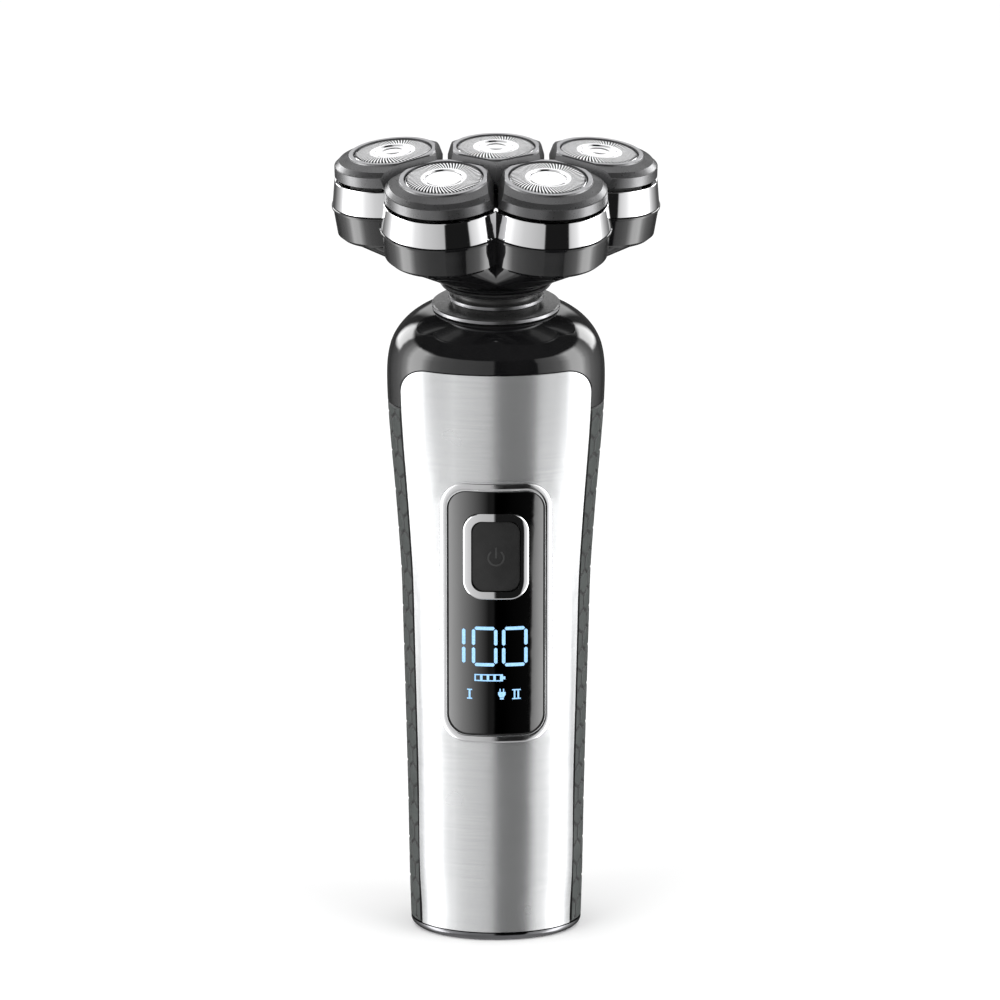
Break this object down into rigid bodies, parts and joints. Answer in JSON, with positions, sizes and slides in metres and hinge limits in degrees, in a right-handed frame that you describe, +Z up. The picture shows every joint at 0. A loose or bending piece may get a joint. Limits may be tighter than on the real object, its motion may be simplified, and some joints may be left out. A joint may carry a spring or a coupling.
{
  "type": "rotary electric shaver",
  "caption": "Upright rotary electric shaver: oval handle with a brushed front panel, display and button, and a lift-off head of small floating foils driven by gears.",
  "frame": {"origin": "centre of the flat foot that the handle stands on", "axes": "+Z up the handle, -Y out of the front panel, +X to the right seen from the front"},
  "size_m": [0.0704, 0.0451, 0.1706],
  "materials": {
    "brushed_steel": "fine horizontal brushing",
    "panel_gloss": "high gloss",
    "soft_grip": "matt, hexagon pattern",
    "chrome": "mirror",
    "foil_steel": "polished, slotted",
    "cap_metal": "satin gunmetal",
    "dark_satin": "satin",
    "spine": "fine texture",
    "button_black": "soft matt",
    "lens": "high gloss",
    "inner_frame": "matt",
    "gear_plastic": "moulded",
    "steel": "turned",
    "spring_steel": "drawn wire",
    "copper": "wound wire",
    "board": "solder mask",
    "cell_wrap": "shrink sleeve",
    "seal": "matt"
  },
  "bodies": {
    "handle": {"front_panel": "brushed_steel", "display_lens": "lens", "button_ring": "chrome", "grip_left": "soft_grip", "grip_right": "soft_grip", "rear_cover": "spine", "upper_housing": "panel_gloss", "base_ring": "panel_gloss", "base_cap": "dark_satin", "charging_socket": "steel", "handle_screws": "steel", "chassis": "inner_frame", "main_board": "board", "display_module": "inner_frame", "tact_switch": "dark_satin", "battery_cell": "cell_wrap", "motor_can": "steel", "motor_end_cap": "inner_frame", "motor_bracket": "inner_frame", "neck_collar": "dark_satin", "neck_post": "dark_satin", "neck_seal": "seal"},
    "button": {"power_button": "button_black"},
    "rotor": {"motor_shaft": "steel", "motor_armature": "copper", "drive_coupler": "gear_plastic"},
    "head": {"head_ring": "dark_satin", "head_bowl": "panel_gloss", "head_band": "chrome", "gear_plate": "inner_frame", "gear_pins": "steel", "gear_deck": "dark_satin", "hinge_pins": "steel", "head_screws": "steel", "pod_springs": "spring_steel"},
    "sun": {"sun_gear": "gear_plastic"},
    "gear_rear_left": {"gear_rear_left": "gear_plastic"},
    "gear_rear_centre": {"gear_rear_centre": "gear_plastic"},
    "gear_rear_right": {"gear_rear_right": "gear_plastic"},
    "gear_front_left": {"gear_front_left": "gear_plastic"},
    "gear_front_right": {"gear_front_right": "gear_plastic"},
    "idler_left": {"idler_left": "gear_plastic"},
    "idler_right": {"idler_right": "gear_plastic"},
    "pod_rear_left": {"cap_rear_left": "cap_metal"},
    "foil_rear_left": {"foil_rear_left": "foil_steel"},
    "cutter_rear_left": {"cutter_rear_left": "steel"},
    "pod_rear_centre": {"cap_rear_centre": "cap_metal"},
    "foil_rear_centre": {"foil_rear_centre": "foil_steel"},
    "cutter_rear_centre": {"cutter_rear_centre": "steel"},
    "pod_rear_right": {"cap_rear_right": "cap_metal"},
    "foil_rear_right": {"foil_rear_right": "foil_steel"},
    "cutter_rear_right": {"cutter_rear_right": "steel"},
    "pod_front_left": {"cap_front_left": "cap_metal"},
    "foil_front_left": {"foil_front_left": "foil_steel"},
    "cutter_front_left": {"cutter_front_left": "steel"},
    "pod_front_right": {"cap_front_right": "cap_metal"},
    "foil_front_right": {"foil_front_right": "foil_steel"},
    "cutter_front_right": {"cutter_front_right": "steel"}
  },
  "joints": [
    {"name": "motor_spin", "type": "hinge", "parent": "handle", "child": "rotor", "pos_m": [0, 0, 0.14], "axis": [0, 0, 1], "continuous": true},
    {"name": "button_press", "type": "slide", "parent": "handle", "child": "button", "axis": [0, 1, 0], "range_m": [0, 0.0008], "stiffness_N_per_m": 600, "springref_m": -0.0008},
    {"name": "head_detach", "type": "slide", "parent": "handle", "child": "head", "axis": [0, -0.1219, 0.9925], "range_m": [0, 0.03]},
    {"name": "sun_spin", "type": "hinge", "parent": "head", "child": "sun", "pos_m": [0, -0.00213, 0.15337], "axis": [0, -0.1908, 0.9816], "continuous": true},
    {"name": "gear_spin_rear_left", "type": "hinge", "parent": "head", "child": "gear_rear_left", "pos_m": [-0.0209, 0.00916, 0.15556], "axis": [0, -0.1908, 0.9816], "continuous": true},
    {"name": "gear_spin_rear_centre", "type": "hinge", "parent": "head", "child": "gear_rear_centre", "pos_m": [0, 0.00916, 0.15556], "axis": [0, -0.1908, 0.9816], "continuous": true},
    {"name": "gear_spin_rear_right", "type": "hinge", "parent": "head", "child": "gear_rear_right", "pos_m": [0.0209, 0.00916, 0.15556], "axis": [0, -0.1908, 0.9816], "continuous": true},
    {"name": "gear_spin_front_left", "type": "hinge", "parent": "head", "child": "gear_front_left", "pos_m": [-0.01045, -0.00685, 0.15245], "axis": [0, -0.1908, 0.9816], "continuous": true},
    {"name": "gear_spin_front_right", "type": "hinge", "parent": "head", "child": "gear_front_right", "pos_m": [0.01045, -0.00685, 0.15245], "axis": [0, -0.1908, 0.9816], "continuous": true},
    {"name": "idler_spin_left", "type": "hinge", "parent": "head", "child": "idler_left", "pos_m": [-0.01357, 0.00248, 0.15427], "axis": [0, -0.1908, 0.9816], "continuous": true},
    {"name": "idler_spin_right", "type": "hinge", "parent": "head", "child": "idler_right", "pos_m": [0.01357, 0.00248, 0.15427], "axis": [0, -0.1908, 0.9816], "continuous": true},
    {"name": "pod_tilt_rear_left", "type": "hinge", "parent": "head", "child": "pod_rear_left", "pos_m": [-0.01552, 0.0058, 0.16239], "axis": [-0.3633, -0.9171, -0.1642], "range_deg": [0, 2.2], "stiffness_Nm_per_rad": 0.3, "springref_deg": -2.29, "deforming": ["pod_springs"]},
    {"name": "foil_press_rear_left", "type": "slide", "parent": "pod_rear_left", "child": "foil_rear_left", "axis": [0.0957, 0.1385, -0.9857], "range_m": [0, 0.0007], "stiffness_N_per_m": 400, "springref_m": -0.0008, "deforming": ["pod_springs"]},
    {"name": "cutter_spin_rear_left", "type": "hinge", "parent": "foil_rear_left", "child": "cutter_rear_left", "pos_m": [-0.02214, 0.00736, 0.16836], "axis": [-0.0957, -0.1385, 0.9857], "continuous": true},
    {"name": "pod_tilt_rear_centre", "type": "hinge", "parent": "head", "child": "pod_rear_centre", "pos_m": [0, 0.00166, 0.1622], "axis": [-1, 0, 0], "range_deg": [0, 2.2], "stiffness_Nm_per_rad": 0.3, "springref_deg": -2.29, "deforming": ["pod_springs"]},
    {"name": "foil_press_rear_centre", "type": "slide", "parent": "pod_rear_centre", "child": "foil_rear_centre", "axis": [0, 0.1392, -0.9903], "range_m": [0, 0.0007], "stiffness_N_per_m": 400, "springref_m": -0.0008, "deforming": ["pod_springs"]},
    {"name": "cutter_spin_rear_centre", "type": "hinge", "parent": "foil_rear_centre", "child": "cutter_rear_centre", "pos_m": [0, 0.00722, 0.16935], "axis": [0, -0.1392, 0.9903], "continuous": true},
    {"name": "pod_tilt_rear_right", "type": "hinge", "parent": "head", "child": "pod_rear_right", "pos_m": [0.01552, 0.0058, 0.16239], "axis": [-0.3633, 0.9171, 0.1642], "range_deg": [0, 2.2], "stiffness_Nm_per_rad": 0.3, "springref_deg": -2.29, "deforming": ["pod_springs"]},
    {"name": "foil_press_rear_right", "type": "slide", "parent": "pod_rear_right", "child": "foil_rear_right", "axis": [-0.0957, 0.1385, -0.9857], "range_m": [0, 0.0007], "stiffness_N_per_m": 400, "springref_m": -0.0008, "deforming": ["pod_springs"]},
    {"name": "cutter_spin_rear_right", "type": "hinge", "parent": "foil_rear_right", "child": "cutter_rear_right", "pos_m": [0.02214, 0.00736, 0.16836], "axis": [0.0957, -0.1385, 0.9857], "continuous": true},
    {"name": "pod_tilt_front_left", "type": "hinge", "parent": "head", "child": "pod_front_left", "pos_m": [-0.00568, -0.00477, 0.16067], "axis": [0.6149, -0.7718, -0.162], "range_deg": [0, 2.2], "stiffness_Nm_per_rad": 0.3, "springref_deg": -2.29, "deforming": ["pod_springs"]},
    {"name": "foil_press_front_left", "type": "slide", "parent": "pod_front_left", "child": "foil_front_left", "axis": [0.0479, 0.2416, -0.9692], "range_m": [0, 0.0007], "stiffness_N_per_m": 400, "springref_m": -0.0008, "deforming": ["pod_springs"]},
    {"name": "cutter_spin_front_left", "type": "hinge", "parent": "foil_front_left", "child": "cutter_front_left", "pos_m": [-0.0111, -0.01012, 0.16557], "axis": [-0.0479, -0.2416, 0.9692], "continuous": true},
    {"name": "pod_tilt_front_right", "type": "hinge", "parent": "head", "child": "pod_front_right", "pos_m": [0.00568, -0.00477, 0.16067], "axis": [0.6149, 0.7718, 0.162], "range_deg": [0, 2.2], "stiffness_Nm_per_rad": 0.3, "springref_deg": -2.29, "deforming": ["pod_springs"]},
    {"name": "foil_press_front_right", "type": "slide", "parent": "pod_front_right", "child": "foil_front_right", "axis": [-0.0479, 0.2416, -0.9692], "range_m": [0, 0.0007], "stiffness_N_per_m": 400, "springref_m": -0.0008, "deforming": ["pod_springs"]},
    {"name": "cutter_spin_front_right", "type": "hinge", "parent": "foil_front_right", "child": "cutter_front_right", "pos_m": [0.0111, -0.01012, 0.16557], "axis": [0.0479, -0.2416, 0.9692], "continuous": true}
  ],
  "couplings": [
    {"joint": "sun_spin", "follows": "motor_spin", "ratio": 1},
    {"joint": "gear_spin_rear_left", "follows": "motor_spin", "ratio": -0.64286},
    {"joint": "gear_spin_rear_centre", "follows": "motor_spin", "ratio": -0.64286},
    {"joint": "gear_spin_rear_right", "follows": "motor_spin", "ratio": -0.64286},
    {"joint": "gear_spin_front_left", "follows": "motor_spin", "ratio": -0.64286},
    {"joint": "gear_spin_front_right", "follows": "motor_spin", "ratio": -0.64286},
    {"joint": "idler_spin_left", "follows": "motor_spin", "ratio": 1.5},
    {"joint": "idler_spin_right", "follows": "motor_spin", "ratio": 1.5},
    {"joint": "cutter_spin_rear_left", "follows": "motor_spin", "ratio": -0.64286},
    {"joint": "cutter_spin_rear_centre", "follows": "motor_spin", "ratio": -0.64286},
    {"joint": "cutter_spin_rear_right", "follows": "motor_spin", "ratio": -0.64286},
    {"joint": "cutter_spin_front_left", "follows": "motor_spin", "ratio": -0.64286},
    {"joint": "cutter_spin_front_right", "follows": "motor_spin", "ratio": -0.64286}
  ]
}
